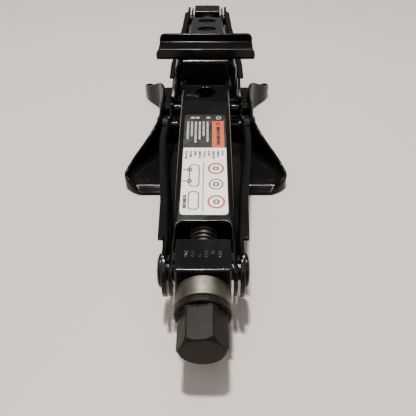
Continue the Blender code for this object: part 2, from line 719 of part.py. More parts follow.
def build_saddle(parent):
    """Saddle bracket with its end plates, saddle rest, the pins and the washers beside the upper arms."""
    build_bracket(parent)
    for label, end in (("front", -1.0), ("rear", 1.0)):
        build_tab(label, end, parent)
        pin = turned(headed_pin(BRACKET_HALF_WIDTH + GAP, *SADDLE_PIN_HEAD), axis="x")
        pin = add_object("saddle_pin_" + label, pin, DARK_STEEL)
        at_saddle(pin, parent, end * PIN_HALF_PITCH, SADDLE_PIN_Z)
        for name, way in (("left", -1.0), ("right", 1.0)):
            edges = (UPPER_HALF_WIDTH + GAP, BRACKET_HALF_WIDTH - BRACKET_SHEET - GAP)
            low, high = sorted((way * edges[0], way * edges[1]))
            washer = ring(low, high, HOLE_RADIUS, SPACER_RADIUS, "x")
            made = add_object("saddle_washer_" + label + "_" + name, washer, OILED_STEEL)
            at_saddle(made, parent, end * PIN_HALF_PITCH, SADDLE_PIN_Z)
    rest = prism(thicken(rest_path(), REST_SHEET), -REST_HALF_LENGTH, REST_HALF_LENGTH)
    at_saddle(add_object("saddle_rest", rest, BLACK_PAINT), parent, 0.0, 0.0)


def build_label(parent):
    """Thin label plate on the web of the front upper arm, in that arm's own frame."""
    corners = []
    for along in (LABEL_START, LABEL_END):
        level = between(UPPER_TOP, along) + LABEL_GAP
        corners.append((ARM_LENGTH - along, level))
    outline = corners + [(y, z + LABEL_THICKNESS) for y, z in reversed(corners)]
    plate = prism(outline, -LABEL_HALF_WIDTH, LABEL_HALF_WIDTH)
    place(add_object("label_plate", plate, LABEL_WHITE, smooth=False), parent, 0.0, 0.0, 0.0)


def empty(name, parent, x, y, z, turn_x=0.0):
    made = bpy.data.objects.new(name, None)
    bpy.context.scene.collection.objects.link(made)
    return place(made, parent, x, y, z, turn_x)


def build_side(label, end, teeth, holes, root):
    """One half of the linkage: lower arm, upper arm and trunnion; end is -1 at the front."""
    lower_axis = empty(label + "_base_axis", root, 0.0, end * PIN_HALF_PITCH, BASE_PIN_Z, end * FOLD_ANGLE)
    build_lower_arm("lower_arm_" + label, end, teeth, lower_axis)
    upper_axis = empty(label + "_trunnion_axis", root, 0.0, end * HALF_SPAN, SCREW_Z, -end * FOLD_ANGLE)
    build_upper_arm("upper_arm_" + label, end, teeth, holes, upper_axis)
    level_axis = empty(label + "_trunnion_level", root, 0.0, end * HALF_SPAN, SCREW_Z)
    build_trunnion(end, level_axis)
    return upper_axis, level_axis


def main():
    start_clean()
    root = empty("jack", None, 0.0, 0.0, 0.0)
    build_base(root)
    front_upper, front_level = build_side("front", -1.0, FRONT_TEETH, FRONT_UPPER_HOLES, root)
    rear_level = build_side("rear", 1.0, REAR_TEETH, REAR_UPPER_HOLES, root)[1]
    build_label(front_upper)
    build_bearing(front_level)
    build_screw(front_level)
    nut = ring(-TRUNNION_INNER, TRUNNION_OUTER, SCREW_RADIUS + GAP, NUT_RADIUS)
    place(add_object("screw_nut", nut, BRASS), rear_level, 0.0, 0.0, 0.0)
    build_saddle(empty("saddle_axis", root, 0.0, -PIN_HALF_PITCH, SADDLE_PIN_Z))


main()
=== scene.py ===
"""Looks for the folded scissor jack.

Finer sheet metal, turned parts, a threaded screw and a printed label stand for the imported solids.
Lengths are in millimetres until a mesh is finished, and every place is worked out from the frame.
"""

import json
import math

import bmesh
import bpy
from mathutils import Matrix, Vector


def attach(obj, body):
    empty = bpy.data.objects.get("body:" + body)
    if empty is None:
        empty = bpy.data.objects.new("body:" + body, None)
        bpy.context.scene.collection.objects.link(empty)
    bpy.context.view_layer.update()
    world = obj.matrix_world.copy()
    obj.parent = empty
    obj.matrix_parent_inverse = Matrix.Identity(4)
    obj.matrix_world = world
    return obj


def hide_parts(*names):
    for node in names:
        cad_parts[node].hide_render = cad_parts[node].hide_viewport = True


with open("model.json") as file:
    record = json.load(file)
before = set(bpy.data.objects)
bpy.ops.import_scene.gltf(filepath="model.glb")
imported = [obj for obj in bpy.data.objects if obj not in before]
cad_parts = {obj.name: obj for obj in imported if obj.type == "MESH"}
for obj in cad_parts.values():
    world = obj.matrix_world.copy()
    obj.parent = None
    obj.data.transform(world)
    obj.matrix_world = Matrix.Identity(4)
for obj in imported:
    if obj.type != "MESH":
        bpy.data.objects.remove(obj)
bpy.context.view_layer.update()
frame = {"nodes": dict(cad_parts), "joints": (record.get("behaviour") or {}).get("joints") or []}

MM = 0.001
JOINTS = {joint["name"]: Vector(joint.get("pos_m", (0.0, 0.0, 0.0))) / MM for joint in frame["joints"]}

# The two ends and their sides of the middle.
ENDS = (("front", -1.0), ("rear", 1.0))

# Linkage, read from the joints.
FRONT_PIVOT = JOINTS["fold"]
TRUNNION_PLACE = JOINTS["front_elbow"]
SADDLE_PLACE = JOINTS["saddle_level"]
ARM_VECTOR = TRUNNION_PLACE - FRONT_PIVOT
ARM_LENGTH = ARM_VECTOR.length
FOLD_ANGLE = math.atan2(ARM_VECTOR.z, -ARM_VECTOR.y)
PIN_HALF_PITCH = -FRONT_PIVOT.y
HALF_SPAN = -TRUNNION_PLACE.y
SCREW_Z = TRUNNION_PLACE.z
TO_TRUNNION = Matrix.Translation(TRUNNION_PLACE)

# Fits, and how finely round and how soft the pieces are.
GAP = 0.3
PIN_RADIUS = 5.0
HOLE_RADIUS = 5.35
ROUND_SIDES = 64
FINE_SIDES = 96
EDGE_ROUNDING = 0.32
MERGE_DISTANCE = 0.02
FLAT_WITHIN_DEG = 0.6

# Gear ends of the arms.
GEAR_TEETH = 12
GEAR_MODULE = 2.0 * PIN_HALF_PITCH / GEAR_TEETH
GEAR_TIP_RADIUS = PIN_HALF_PITCH + 0.8 * GEAR_MODULE
GEAR_ROOT_RADIUS = 10.4
GEAR_TOOTH_WIDTH = 2.9
GEAR_PRESSURE_ANGLE = math.radians(25.0)
FLANK_STEPS = 5
FRONT_TEETH = (0.0, 30.0, 60.0)
REAR_TEETH = (15.0, 45.0, 75.0)

# Corner where each arm's open edge drops to its teeth: (along, height).
LOWER_NECK = (12.0, 12.6)
UPPER_NECK = (14.0, 11.6)

# Lower arms.
LOWER_SHEET = 2.3
LOWER_EAR_RADIUS = 13.4
LOWER_EAR_SWEEP = 82.0
LOWER_HALF_WIDTH = (
    (-18.0, 29.6), (50.0, 29.6), (82.0, 26.5), (124.0, 22.3), (158.0, 20.5), (190.0, 20.5),
)
LOWER_LIP = 3.2
LOWER_LIP_BEND = 1.6
LOWER_FLOOR_BEND = 2.4
LOWER_LIP_ENDS = (30.0, 157.8)
LOWER_LIP_CLEAR = 0.15
LOWER_WEB_ENDS = (30.0, 140.0)
LOWER_WEB_CORNER = 6.0

# Upper arms.
UPPER_SHEET = 2.0
UPPER_HALF_WIDTH = 17.0
UPPER_EAR_RADIUS = 13.0
UPPER_EAR_SWEEP = 80.0
UPPER_TOP = (
    (-18.0, 9.2), (12.5, 9.4), (38.0, 10.8), (143.0, 8.8), (150.0, 8.8), (160.0, 12.7), (184.0, 12.7),
)
UPPER_TOP_EASE = 3.0
UPPER_DEPTH = 13.0
UPPER_WEB_BEND = 2.0
UPPER_WEB_ENDS = (14.5, 142.0)
UPPER_WEB_CORNER = 4.0

# Holes in the upper webs: (distance along, half width, half length).
FRONT_UPPER_HOLES = ((22.5, 7.2, 7.2),)
REAR_UPPER_HOLES = ((94.0, 9.0, 7.9), (127.0, 9.0, 7.9))

# Ranges along an arm: its stock, and how far the cutters reach past its ends and sides.
STOCK_START = -16.0
STOCK_PAST_ELBOW = 15.0
STOCK_STEP = 3.0
CUT_START = -20.0
CUT_END = 190.0
CUT_REACH = 40.0
BLOCK_REACH = 30.0
DRILL_REACH = 42.0
LIP_CUT_WIDTH = 45.0
WEB_CLEAR = 0.05

# Base tray: (distance from the middle, half width, wall top, floor top).
BASE_SHEET = 2.5
BASE_STATIONS = (
    (0.0, 37.6, 30.0, 2.5),
    (20.0, 37.6, 30.0, 2.5),
    (26.0, 38.2, 30.0, 2.5),
    (33.0, 39.6, 30.0, 5.5),
    (38.0, 41.2, 29.0, 5.5),
    (43.0, 43.7, 26.8, 5.5),
    (49.0, 48.0, 22.8, 5.5),
    (55.0, 53.0, 18.2, 5.5),
    (60.0, 56.4, 15.0, 5.5),
    (64.0, 58.3, 13.2, 5.5),
    (67.5, 59.5, 12.1, 5.5),
    (71.0, 59.6, 11.4, 5.5),
    (74.0, 58.4, 10.8, 5.5),
    (76.0, 56.7, 9.6, 5.3),
    (78.5, 53.8, 6.8, 4.1),
    (80.4, 50.6, 3.9, 2.9),
    (81.5, 47.5, 2.9, 2.5),
)
BASE_FOOT_ROUND = ((0.0, 2.6), (26.0, 2.6), (42.0, 5.5), (90.0, 5.5))
BASE_STEP = 1.25
BASE_DRILL_REACH = 45.0
BASE_HEM = 1.4
BASE_HEM_START = 4.5
BASE_HEM_MIDDLE = 3.2
BASE_RIM_LOWEST = 1.5
BASE_FULL_WALL = 5.0
BASE_PIN_DOME = (2.4, 7.5)

# Screw line, measured from the trunnion pins.
SCREW_RADIUS = 7.5
THREAD_ROOT = 6.3
THREAD_PITCH = 3.0
THREAD_SIDES = 32
SCREW_TAIL = 19.0
SCREW_NOSE = 38.0
SCREW_SHOULDER = 23.7
NUT_RADIUS = 10.5
TRUNNION_HALF_WIDTH = 13.8
TRUNNION_OUTER = 13.6
TRUNNION_INNER = 7.3
TRUNNION_TOPS = {"front": 16.1, "rear": 11.7}
TRUNNION_BOTTOM = 14.5
TRUNNION_BORES = {"front": SCREW_RADIUS + 0.6, "rear": NUT_RADIUS + GAP}
PIN_SOCKET_DEPTHS = {"front": 5.0, "rear": 2.8}
STAMP_Y = -3.0
STAMP_PITCH = 3.3
STAMP_ROW = 1.25
PIN_HEAD_RADIUS = 8.75
PIN_HEAD_START = 21.1
PIN_HEAD_END = 23.5
BEARING_RADIUS = 13.9
BEARING_BORE = 12.5
BEARING_END = 24.7
HEAD_START = 25.0
FLANGE_RADIUS = 13.7
FLANGE_THICKNESS = 3.4
FLANGE_ROUND = 0.9
HEAD_END = 46.4
HEX_ACROSS_FLATS = 21.0
HEX_TURN = math.radians(7.0)

# Saddle.
BRACKET_SHEET = 2.4
BRACKET_HALF_WIDTH = 22.0
BRACKET_TOP = 72.9
BRACKET_LUG_RADIUS = 8.4
BRACKET_HALF_LENGTH = 20.6
BRACKET_NOTCH_HALF_WIDTH = 17.9
BRACKET_NOTCH_BOTTOM = 66.0
BRACKET_BEND = 3.0
SADDLE_REACH = 30.0
SADDLE_ROOF = 80.0
SADDLE_PIN_DOME = (2.2, 7.0)
TAB_OUTER = 18.4
TAB_SHEET = 2.4
TAB_TOP = 74.4
TAB_HALF_WIDTH = 16.6
TAB_STEP_HALF_WIDTH = 14.4
TAB_STEP = 62.5
TAB_BOTTOM = 56.5
TAB_BEND = 2.2
REST_SHEET = 2.4
REST_BEND = 1.8
REST_HALF_LENGTH = 35.8
REST_HALF_WIDTH = 15.65
REST_TOP = 81.5
REST_CORNER = 4.0

# Label.
LABEL_HALF_WIDTH = 13.6
LABEL_START = 50.0
LABEL_END = 138.0
LABEL_LEVEL = 0.12
LABEL_SPLIT = 83.5
LABEL_CORNER = 2.4
PRINT_STEP = 0.05

# Colours that the looks share.
DUST_SPECK = (0.13, 0.12, 0.11)
RUBBED_COAT = (0.16, 0.155, 0.15)
SCRATCHED_COAT = (0.018, 0.017, 0.016)
STRUCK_STEEL = (0.25, 0.235, 0.215)


# ---- materials


def shader_tree(name):
    made = bpy.data.materials.new(name)
    made.use_nodes = True
    tree = made.node_tree
    return made, tree, tree.nodes["Principled BSDF"]


def link(tree, source, target):
    tree.links.new(source, target)


def noise(tree, scale, detail=4.0, roughness=0.55, stretch=None):
    """A noise over the object's own space; stretch is (x, y, z) multipliers for grain that runs one way."""
    place = tree.nodes.new("ShaderNodeTexCoord")
    made = tree.nodes.new("ShaderNodeTexNoise")
    made.inputs["Scale"].default_value = scale
    made.inputs["Detail"].default_value = detail
    made.inputs["Roughness"].default_value = roughness
    source = place.outputs["Object"]
    if stretch:
        mapping = tree.nodes.new("ShaderNodeMapping")
        mapping.inputs["Scale"].default_value = stretch
        link(tree, source, mapping.inputs["Vector"])
        source = mapping.outputs["Vector"]
    link(tree, source, made.inputs["Vector"])
    return made.outputs["Fac"]


def ranged(tree, value, low, high, out_low, out_high):
    """Maps a socket's values from low..high to out_low..out_high, and holds them there."""
    made = tree.nodes.new("ShaderNodeMapRange")
    for name, number in (("From Min", low), ("From Max", high), ("To Min", out_low), ("To Max", out_high)):
        made.inputs[name].default_value = number
    link(tree, value, made.inputs["Value"])
    return made.outputs["Result"]


def times(tree, first, second):
    made = tree.nodes.new("ShaderNodeMath")
    made.operation = "MULTIPLY"
    link(tree, first, made.inputs[0])
    link(tree, second, made.inputs[1])
    return made.outputs[0]


def mixed(tree, amount, first, second):
    """Mixes two colours, each an RGB triple or a socket, by a factor socket."""
    made = tree.nodes.new("ShaderNodeMix")
    made.data_type = "RGBA"
    link(tree, amount, made.inputs["Factor"])
    for socket, colour in ((made.inputs[6], first), (made.inputs[7], second)):
        if isinstance(colour, tuple):
            socket.default_value = (*colour, 1.0)
        else:
            link(tree, colour, socket)
    return made.outputs[2]


def edge_mask(tree, radius_mm, low, high):
    """Nearly one along outside edges and zero on flats, from how far the rounded normal leans over."""
    rounded = tree.nodes.new("ShaderNodeBevel")
    rounded.samples = 6
    rounded.inputs["Radius"].default_value = radius_mm * MM
    flat = tree.nodes.new("ShaderNodeNewGeometry")
    lean = tree.nodes.new("ShaderNodeVectorMath")
    lean.operation = "DOT_PRODUCT"
    link(tree, rounded.outputs["Normal"], lean.inputs[0])
    link(tree, flat.outputs["Normal"], lean.inputs[1])
    return ranged(tree, lean.outputs["Value"], high, low, 0.0, 1.0)


def facing_up(tree, low, high):
    """How far a surface faces up in the object's own space, for settled dust."""
    place = tree.nodes.new("ShaderNodeTexCoord")
    split = tree.nodes.new("ShaderNodeSeparateXYZ")
    link(tree, place.outputs["Normal"], split.inputs[0])
    return ranged(tree, split.outputs["Z"], low, high, 0.0, 1.0)


def bumps(tree, shader, layers):
    """Chains bump nodes; each layer is (height socket, strength, distance in mm)."""
    normal = None
    for height, strength, distance in layers:
        made = tree.nodes.new("ShaderNodeBump")
        made.inputs["Strength"].default_value = strength
        made.inputs["Distance"].default_value = distance * MM
        link(tree, height, made.inputs["Height"])
        if normal:
            link(tree, normal, made.inputs["Normal"])
        normal = made.outputs["Normal"]
    link(tree, normal, shader.inputs["Normal"])


def black_coat(name, base=(0.0045, 0.0043, 0.0041), dust=0.25, gloss=0.19):
    """Gloss black dip coat: slight orange peel, thin rubbed edges, dust on top and faint scratches."""
    made, tree, shader = shader_tree(name)
    cloud = ranged(tree, noise(tree, 45.0, 3.0), 0.35, 0.7, 0.0, 1.0)
    specks = ranged(tree, noise(tree, 1700.0, 2.0), 0.62, 0.74, 0.0, 1.0)
    scratch = ranged(tree, noise(tree, 520.0, 2.0, 0.5, (1.0, 0.05, 1.0)), 0.68, 0.76, 0.0, 0.6)
    settled = times(tree, facing_up(tree, 0.2, 1.0), ranged(tree, cloud, 0.0, 1.0, 0.15 * dust, dust))
    colour = mixed(tree, settled, base, tuple(2.3 * part for part in base))
    colour = mixed(tree, times(tree, specks, settled), colour, DUST_SPECK)
    edges = edge_mask(tree, 0.5, 0.80, 0.985)
    worn = times(tree, edges, ranged(tree, noise(tree, 260.0, 3.0), 0.5, 0.66, 0.0, 0.5))
    colour = mixed(tree, worn, colour, RUBBED_COAT)
    colour = mixed(tree, times(tree, scratch, cloud), colour, SCRATCHED_COAT)
    link(tree, colour, shader.inputs["Base Color"])
    link(tree, ranged(tree, cloud, 0.0, 1.0, 0.11, 0.2), shader.inputs["Roughness"])
    shader.inputs["Specular IOR Level"].default_value = gloss
    peel = noise(tree, 620.0, 2.0)
    ripple = noise(tree, 90.0, 2.0)
    bumps(tree, shader, ((peel, 0.25, 0.05), (ripple, 0.18, 0.12), (scratch, 0.2, 0.03)))
    return made


def dark_steel(name):
    """Phosphated forging: mottled, grainy, brighter where the edges have been struck."""
    made, tree, shader = shader_tree(name)
    mottle = ranged(tree, noise(tree, 240.0, 5.0, 0.65), 0.35, 0.68, 0.0, 1.0)
    colour = mixed(tree, mottle, (0.0045, 0.0041, 0.0037), (0.018, 0.0155, 0.0125))
    edges = edge_mask(tree, 0.7, 0.80, 0.98)
    worn = times(tree, edges, ranged(tree, noise(tree, 700.0, 3.0), 0.4, 0.62, 0.0, 0.9))
    colour = mixed(tree, worn, colour, STRUCK_STEEL)
    link(tree, colour, shader.inputs["Base Color"])
    shader.inputs["Specular IOR Level"].default_value = 0.1
    link(tree, ranged(tree, mottle, 0.0, 1.0, 0.42, 0.62), shader.inputs["Roughness"])
    grain = noise(tree, 1500.0, 3.0)
    bumps(tree, shader, ((grain, 0.35, 0.05), (mottle, 0.2, 0.1)))
    return made


def turned_steel(name, low, high, roughness, grime=(0.09, 0.07, 0.05), grime_share=0.35):
    """Lathe-turned metal with fine rings round the screw's axis and grime in patches."""
    made, tree, shader = shader_tree(name)
    rings = noise(tree, 2600.0, 2.0, 0.6, (0.02, 1.0, 0.02))
    patches = ranged(tree, noise(tree, 130.0, 4.0), 0.42, 0.72, 0.0, grime_share)
    colour = mixed(tree, ranged(tree, rings, 0.3, 0.7, 0.0, 1.0), low, high)
    colour = mixed(tree, patches, colour, grime)
    link(tree, colour, shader.inputs["Base Color"])
    shader.inputs["Metallic"].default_value = 1.0
    duller = ranged(tree, patches, 0.0, grime_share, roughness, roughness + 0.2)
    link(tree, duller, shader.inputs["Roughness"])
    bumps(tree, shader, ((rings, 0.25, 0.03), (noise(tree, 900.0, 3.0), 0.15, 0.04)))
    return made


def film(name, base, stain, roughness=0.42):
    """Printed label film: an even ink with faint rubbed patches and a slight ripple."""
    made, tree, shader = shader_tree(name)
    rubbed = ranged(tree, noise(tree, 160.0, 4.0), 0.45, 0.75, 0.0, 1.0)
    link(tree, mixed(tree, rubbed, base, stain), shader.inputs["Base Color"])
    link(tree, ranged(tree, rubbed, 0.0, 1.0, roughness, roughness + 0.14), shader.inputs["Roughness"])
    shader.inputs["Specular IOR Level"].default_value = 0.25
    bumps(tree, shader, ((noise(tree, 300.0, 2.0), 0.12, 0.05),))
    return made


def matt_surface(name, base, stain, scale):
    """Plain painted surface with broad, faint clouds."""
    made, tree, shader = shader_tree(name)
    cloud = ranged(tree, noise(tree, scale, 4.0), 0.35, 0.7, 0.0, 1.0)
    link(tree, mixed(tree, cloud, base, stain), shader.inputs["Base Color"])
    link(tree, ranged(tree, cloud, 0.0, 1.0, 0.62, 0.74), shader.inputs["Roughness"])
    bumps(tree, shader, ((noise(tree, 900.0, 3.0), 0.08, 0.1),))
    return made


# ---- mesh tools


def polar(radius, angle, centre=(0.0, 0.0)):
    return (centre[0] + radius * math.cos(angle), centre[1] + radius * math.sin(angle))


def arc(centre, radius, start_deg, end_deg, steps):
    angles = [start_deg + (end_deg - start_deg) * index / steps for index in range(steps + 1)]
    return [polar(radius, math.radians(angle), centre) for angle in angles]


def circle(centre, radius, steps):
    return [polar(radius, 2.0 * math.pi * index / steps, centre) for index in range(steps)]


def rounded_patch(left, right, low, high, radius, steps=6):
    """Outline of a rectangle with round corners."""
    near, far = left + radius, right - radius
    lower, upper = low + radius, high - radius
    outline = []
    for quarter, centre in enumerate(((far, lower), (far, upper), (near, upper), (near, lower))):
        outline += arc(centre, radius, 90.0 * (quarter - 1), 90.0 * quarter, steps)
    return outline


def at(y, z):
    """Matrix that moves a piece to a place on the middle plane."""
    return Matrix.Translation((0.0, y, z))


def thicken(path, thickness):
    """Closed outline of a sheet whose middle follows an open path."""
    half = 0.5 * thickness
    left = []
    right = []
    for index, point in enumerate(path):
        before = Vector(path[max(index - 1, 0)])
        after = Vector(path[min(index + 1, len(path) - 1)])
        here = Vector(point)
        inward = (here - before).normalized() if index else (after - here).normalized()
        outward = (after - here).normalized() if index < len(path) - 1 else inward
        tangent = (inward + outward).normalized()
        normal = Vector((-tangent.y, tangent.x))
        reach = half / max(0.5, normal.dot(Vector((-inward.y, inward.x))))
        left.append(tuple(here + reach * normal))
        right.append(tuple(here - reach * normal))
    return left + right[::-1]


def mirrored_path(half_path):
    """A path on the right, carried on to its mirror image on the left."""
    return list(half_path) + [(-x, y) for x, y in reversed(half_path) if x > 0.0]


def between(table, value):
    """The table's value at a place, on straight lines between its rows."""
    for (low, first), (high, second) in zip(table, table[1:]):
        if value <= high:
            return first + (second - first) * (value - low) / (high - low)
    return table[-1][1]


def eased(table, value, reach=4.0):
    """The table's value with its corners rounded over a short reach."""
    steps = (-1.0, -0.6, -0.2, 0.2, 0.6, 1.0)
    return sum(between(table, value + step * reach) for step in steps) / len(steps)


def flowing(table, value):
    """Smooth curve through every row of a table; returns the row's other columns at a place."""
    last = len(table) - 1
    index = next((number for number in range(last) if value <= table[number + 1][0]), last - 1)
    rows = [table[max(index - 1, 0)], table[index], table[index + 1], table[min(index + 2, last)]]
    span = rows[2][0] - rows[1][0]
    t = (value - rows[1][0]) / span
    result = []
    for column in range(1, len(rows[0])):
        start, end = rows[1][column], rows[2][column]
        slope_in = (rows[2][column] - rows[0][column]) / (rows[2][0] - rows[0][0])
        slope_out = (rows[3][column] - rows[1][column]) / (rows[3][0] - rows[1][0])
        if start == end:
            slope_in = slope_out = 0.0
        value_at_start = (2 * t**3 - 3 * t**2 + 1) * start + (t**3 - 2 * t**2 + t) * span * slope_in
        value_at_end = (3 * t**2 - 2 * t**3) * end + (t**3 - t**2) * span * slope_out
        result.append(value_at_start + value_at_end)
    return result


def spread(low, high, step):
    """Even places from low to high, about a step apart."""
    count = max(1, round((high - low) / step))
    return [low + (high - low) * index / count for index in range(count + 1)]


def loft(rings):
    """Skins closed rings of equal point counts and caps both ends."""
    builder = bmesh.new()
    rows = [[builder.verts.new(point) for point in ring] for ring in rings]
    count = len(rows[0])
    for low, high in zip(rows, rows[1:]):
        for index in range(count):
            after = (index + 1) % count
            builder.faces.new((low[index], low[after], high[after], high[index]))
    builder.faces.new(rows[0])
    builder.faces.new(rows[-1])
    return closed(builder)


def closed(builder):
    """Turns every face of a closed mesh outwards."""
    bmesh.ops.recalc_face_normals(builder, faces=builder.faces)
    if builder.calc_volume(signed=True) < 0.0:
        bmesh.ops.reverse_faces(builder, faces=builder.faces)
    return builder


def prism(outline, low, high, axis="x"):
    """Extrudes a closed outline along X (points are Y, Z), Y (points are X, Z) or Z (points are X, Y)."""
    place = "xyz".index(axis)
    return loft([[(*point[:place], level, *point[place:]) for point in outline] for level in (low, high)])


def box(low, high):
    outline = ((low[0], low[1]), (high[0], low[1]), (high[0], high[1]), (low[0], high[1]))
    return prism(outline, low[2], high[2], axis="z")


def turned(profile, sides=ROUND_SIDES, axis="y"):
    """Turns (distance along the axis, radius) points into a closed rod or ring."""
    builder = bmesh.new()
    solid = profile[0][1] == 0.0
    rows = []
    for along, radius in profile:
        if radius == 0.0:
            rows.append([builder.verts.new((0.0, along, 0.0))] * sides)
            continue
        row = []
        for index in range(sides):
            across, up = polar(radius, 2.0 * math.pi * index / sides)
            row.append(builder.verts.new((across, along, up)))
        rows.append(row)
    pairs = list(zip(rows, rows[1:]))
    if not solid:
        pairs.append((rows[-1], rows[0]))
    for low, high in pairs:
        for index in range(sides):
            after = (index + 1) % sides
            corners = []
            for corner in (low[index], low[after], high[after], high[index]):
                if corner not in corners:
                    corners.append(corner)
            builder.faces.new(corners)
    if axis == "x":
        turn = Matrix.Rotation(math.radians(-90.0), 3, "Z")
        bmesh.ops.rotate(builder, verts=builder.verts, matrix=turn)
    return closed(builder)


def rod(low, high, radius, axis="y"):
    return turned(((low, 0.0), (low, radius), (high, radius), (high, 0.0)), ROUND_SIDES, axis)


def moved(builder, offset):
    bmesh.ops.translate(builder, verts=builder.verts, vec=offset)
    return builder


def shown(name, data):
    """An object for the data, linked into the scene."""
    made = bpy.data.objects.new(name, data)
    bpy.context.scene.collection.objects.link(made)
    return made


def temporary(builder):
    """A working object for a modifier to read; it is removed again after use."""
    mesh = bpy.data.meshes.new("working")
    builder.to_mesh(mesh)
    builder.free()
    return shown("working", mesh)


def discard(used):
    mesh = used.data
    bpy.data.objects.remove(used)
    bpy.data.meshes.remove(mesh)


def added(builder, other):
    """Copies another bmesh's faces into this one."""
    joined = temporary(other)
    builder.from_mesh(joined.data)
    discard(joined)


def carved(builder, steps):
    """Applies (operation, cutter) steps in turn and returns the result as a new bmesh."""
    target = temporary(builder)
    cutters = []
    for operation, cutter in steps:
        tool = temporary(cutter)
        cutters.append(tool)
        cut = target.modifiers.new("cut", "BOOLEAN")
        cut.operation = operation
        cut.solver = "MANIFOLD"
        cut.object = tool
    bpy.context.view_layer.update()
    evaluated = target.evaluated_get(bpy.context.evaluated_depsgraph_get())
    result = bmesh.new()
    result.from_mesh(evaluated.to_mesh())
    evaluated.to_mesh_clear()
    for used in [target] + cutters:
        discard(used)
    return result


def soften(builder, width=EDGE_ROUNDING, segments=2, angle_deg=34.0):
    """Rounds every sharp edge a little."""
    bmesh.ops.remove_doubles(builder, verts=builder.verts, dist=MERGE_DISTANCE)
    bmesh.ops.dissolve_limit(
        builder,
        angle_limit=math.radians(FLAT_WITHIN_DEG),
        verts=builder.verts,
        edges=builder.edges,
        use_dissolve_boundaries=False,
    )
    limit = math.radians(angle_deg)
    sharp = [edge for edge in builder.edges if len(edge.link_faces) == 2 and edge.calc_face_angle() > limit]
    bmesh.ops.bevel(builder, geom=sharp, offset=width, segments=segments, profile=0.5, affect="EDGES")
    return builder


def piece(name, builder, look, body, nodes, matrix=None, smooth_deg=40.0):
    """Finishes a bmesh as a shown piece that rides on a body and stands for CAD nodes."""
    if matrix:
        bmesh.ops.transform(builder, matrix=matrix, verts=builder.verts)
    bmesh.ops.scale(builder, vec=(MM, MM, MM), verts=builder.verts)
    mesh = bpy.data.meshes.new(name)
    builder.to_mesh(mesh)
    builder.free()
    mesh.shade_smooth()
    mesh.set_sharp_from_angle(angle=math.radians(smooth_deg))
    mesh.materials.append(look)
    made = shown(name, mesh)
    shading = made.modifiers.new("even_shading", "WEIGHTED_NORMAL")
    shading.keep_sharp = True
    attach(made, body)
    if nodes:
        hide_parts(*nodes)
    return made


def coated(name, builder, coat, body, node, matrix=None):
    """A piece in the black dip coat that stands for one CAD node."""
    return piece(name, builder, coat, body, (node,), matrix)


# ---- arms


def tooth_outline(centre_deg):
    """One involute tooth about the gear's axis."""
    base_radius = PIN_HALF_PITCH * math.cos(GEAR_PRESSURE_ANGLE)
    half_at_pitch = GEAR_TOOTH_WIDTH / (2.0 * PIN_HALF_PITCH)
    start = math.tan(GEAR_PRESSURE_ANGLE) - GEAR_PRESSURE_ANGLE
    flank = [(GEAR_ROOT_RADIUS, half_at_pitch + start)]
    for step in range(FLANK_STEPS + 1):
        radius = base_radius + (GEAR_TIP_RADIUS - base_radius) * step / FLANK_STEPS
        pressure = math.acos(min(1.0, base_radius / radius))
        flank.append((radius, half_at_pitch + start - (math.tan(pressure) - pressure)))
    centre = math.radians(centre_deg)
    leading = [polar(radius, centre + half) for radius, half in flank]
    trailing = [polar(radius, centre - half) for radius, half in flank]
    return leading + trailing[::-1]


def gear_end(teeth):
    """Toothed end of an arm: the root circle from 75 degrees, over the teeth, round to 275 degrees."""
    level = 180.0 - math.degrees(FOLD_ANGLE)
    half_pitch = 0.5 * 360.0 / GEAR_TEETH
    points = arc((0.0, 0.0), GEAR_ROOT_RADIUS, 75.0, 84.0, 1)
    for angle in sorted(teeth, reverse=True):
        points += tooth_outline(level - angle)[::-1]
        if angle != min(teeth):
            points.append(polar(GEAR_ROOT_RADIUS, math.radians(level - angle + half_pitch)))
    return points + arc((0.0, 0.0), GEAR_ROOT_RADIUS, level - min(teeth) + 18.0, 275.0, 20)


def lower_outline(teeth):
    """Side outline of a lower arm; past its edges it runs clear of the stock."""
    over = LOWER_EAR_RADIUS + 1.0
    ear = arc((ARM_LENGTH, 0.0), LOWER_EAR_RADIUS, -LOWER_EAR_SWEEP, LOWER_EAR_SWEEP, 48)
    start = [(28.0, -over), (ear[0][0], -over)]
    top = [(ear[-1][0], over), (27.0, over), LOWER_NECK]
    return gear_end(teeth) + start + ear + top


def upper_outline(teeth):
    """Side outline of an upper arm, drawn with its teeth up and then turned over."""
    over = UPPER_DEPTH + 1.0
    ear = arc((ARM_LENGTH, 0.0), UPPER_EAR_RADIUS, -UPPER_EAR_SWEEP, UPPER_EAR_SWEEP, 48)
    under = [(34.0, UPPER_DEPTH), UPPER_NECK]
    flipped = gear_end(teeth) + [(12.0, -over), (ear[0][0], -over)] + ear + under
    return [(along, -up) for along, up in reversed(flipped)]


def lower_section(along):
    """Open-topped channel with lips turned outwards."""
    half = eased(LOWER_HALF_WIDTH, along) - 0.5 * LOWER_SHEET
    top = LOWER_EAR_RADIUS - 0.5 * LOWER_SHEET
    lip, turn = LOWER_LIP_BEND, LOWER_FLOOR_BEND
    path = [(half + 0.5 * LOWER_SHEET + LOWER_LIP, top)]
    path += arc((half + lip, top - lip), lip, 90.0, 180.0, 6)
    path += arc((half - turn, turn - top), turn, 0.0, -90.0, 6)
    return thicken(mirrored_path(path), LOWER_SHEET)


def upper_section(along):
    """Channel open downwards."""
    half = UPPER_HALF_WIDTH - 0.5 * UPPER_SHEET
    top = eased(UPPER_TOP, along, UPPER_TOP_EASE) - 0.5 * UPPER_SHEET
    path = [(half, -UPPER_DEPTH)]
    path += arc((half - UPPER_WEB_BEND, top - UPPER_WEB_BEND), UPPER_WEB_BEND, 0.0, 90.0, 6)
    return thicken(mirrored_path(path), UPPER_SHEET)


def channel(section, direction):
    stations = spread(STOCK_START, ARM_LENGTH + STOCK_PAST_ELBOW, STOCK_STEP)
    return loft([[(x, direction * along, up) for x, up in section(along)] for along in stations])


